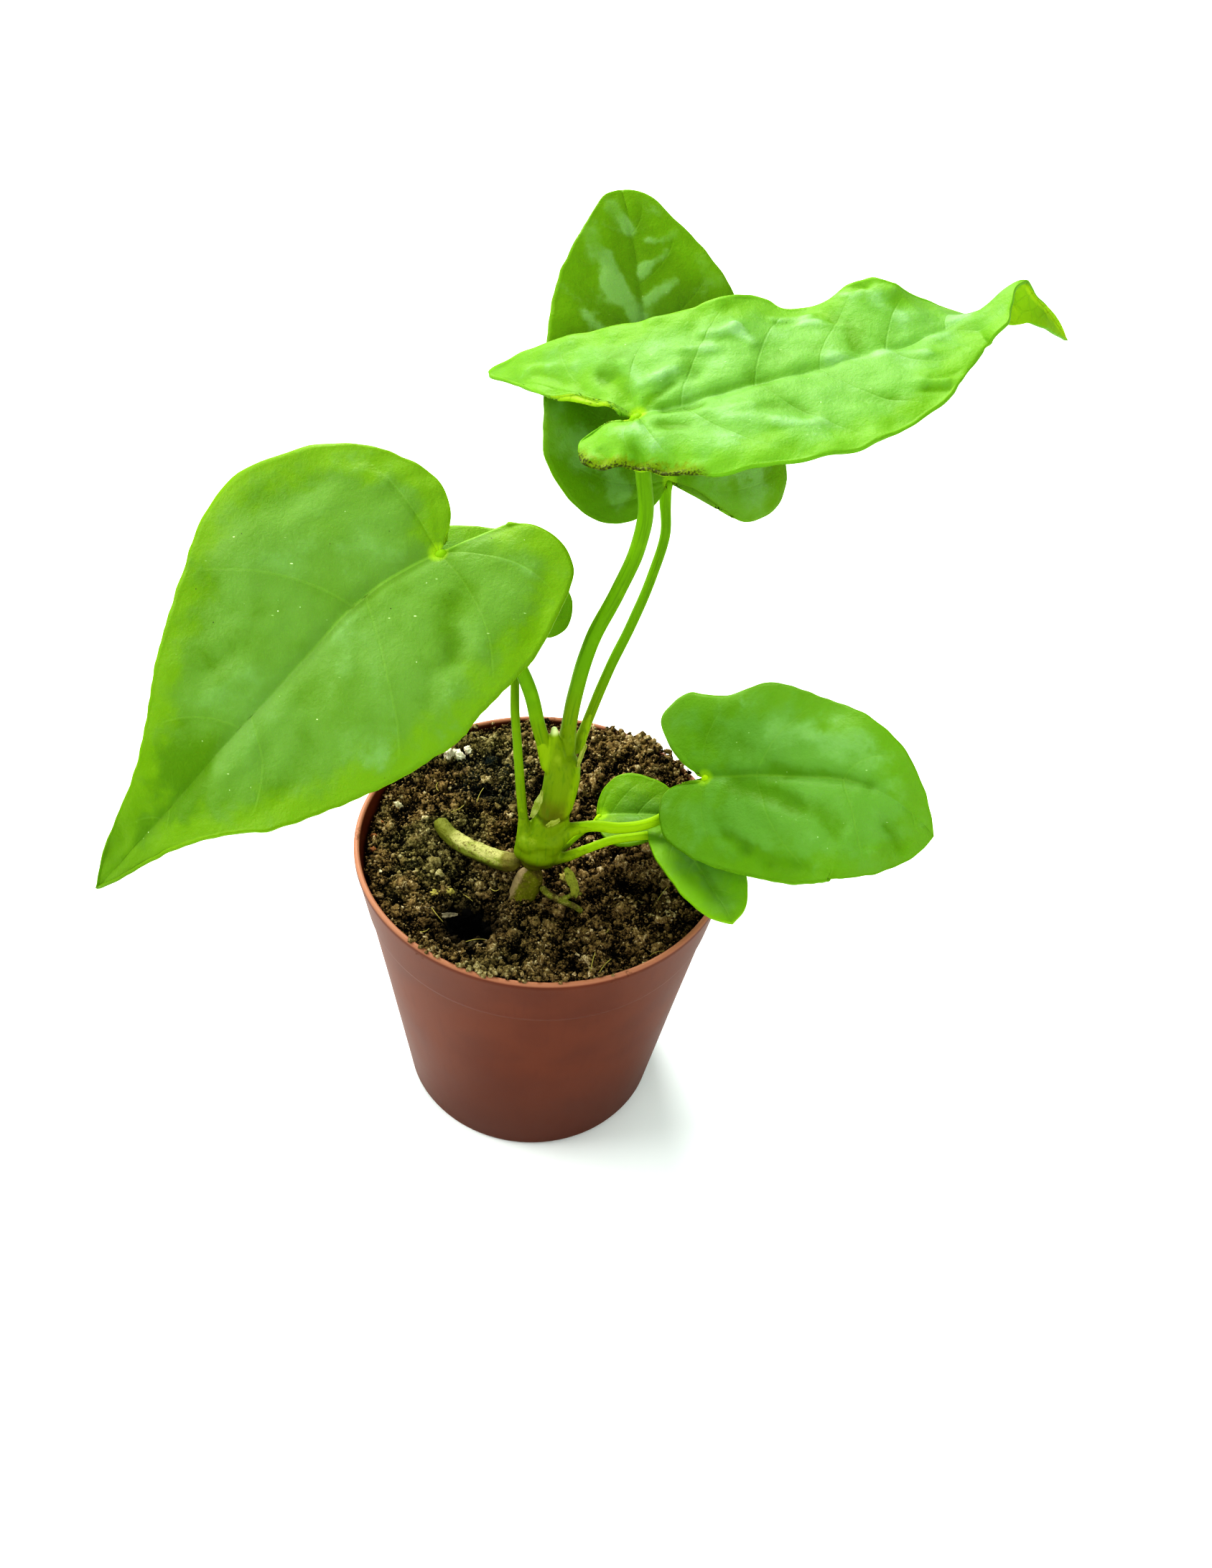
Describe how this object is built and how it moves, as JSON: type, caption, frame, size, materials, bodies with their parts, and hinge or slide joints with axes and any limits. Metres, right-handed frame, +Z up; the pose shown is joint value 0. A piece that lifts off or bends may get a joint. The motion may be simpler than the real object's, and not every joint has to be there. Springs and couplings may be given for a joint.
{
  "type": "potted anthurium",
  "caption": "Young queen anthurium with heart-shaped green leaves on thin petioles, growing in soil in a small tapered nursery pot that stands on its base.",
  "frame": {"origin": "centre of the pot's base, on the surface it stands on", "axes": "+Z up along the pot's axis; +X to the right and +Y away in the picture's view, so the large drooping leaf lies towards -X and -Y"},
  "size_m": [0.1135, 0.0719, 0.1329],
  "materials": {
    "pot_plastic": "thin moulded plastic, satin",
    "soil_mix": "moist crumbly potting mix, matt",
    "stem_bark": "brownish green stem skin, matt",
    "sheath_green": "light green plant skin, satin",
    "stub_skin": "pale mottled plant skin, matt",
    "root_skin": "pale root skin, matt",
    "petiole_tall": "olive green leaf stalk, satin",
    "petiole_lime": "lime green leaf stalk, satin",
    "blade_mid_green": "mid green leaf, satin",
    "blade_pale_green": "pale young leaf, satin",
    "blade_deep_green": "deeper green leaf, satin"
  },
  "bodies": {
    "root": {"pot": "pot_plastic", "soil": "soil_mix", "stem_base": "stem_bark", "crown_sheath": "sheath_green", "old_stem_stub": "stub_skin", "aerial_root": "root_skin", "petiole_left": "petiole_tall", "petiole_top": "petiole_tall", "petiole_top_back": "petiole_tall", "petiole_back_left": "petiole_lime", "petiole_right": "petiole_lime", "petiole_low_right": "petiole_lime", "petiole_small": "petiole_lime", "blade_left": "blade_mid_green", "blade_back_left": "blade_mid_green", "blade_top": "blade_pale_green", "blade_top_back": "blade_deep_green", "blade_right": "blade_deep_green", "blade_low_right": "blade_deep_green", "blade_small": "blade_mid_green"}
  },
  "joints": []
}
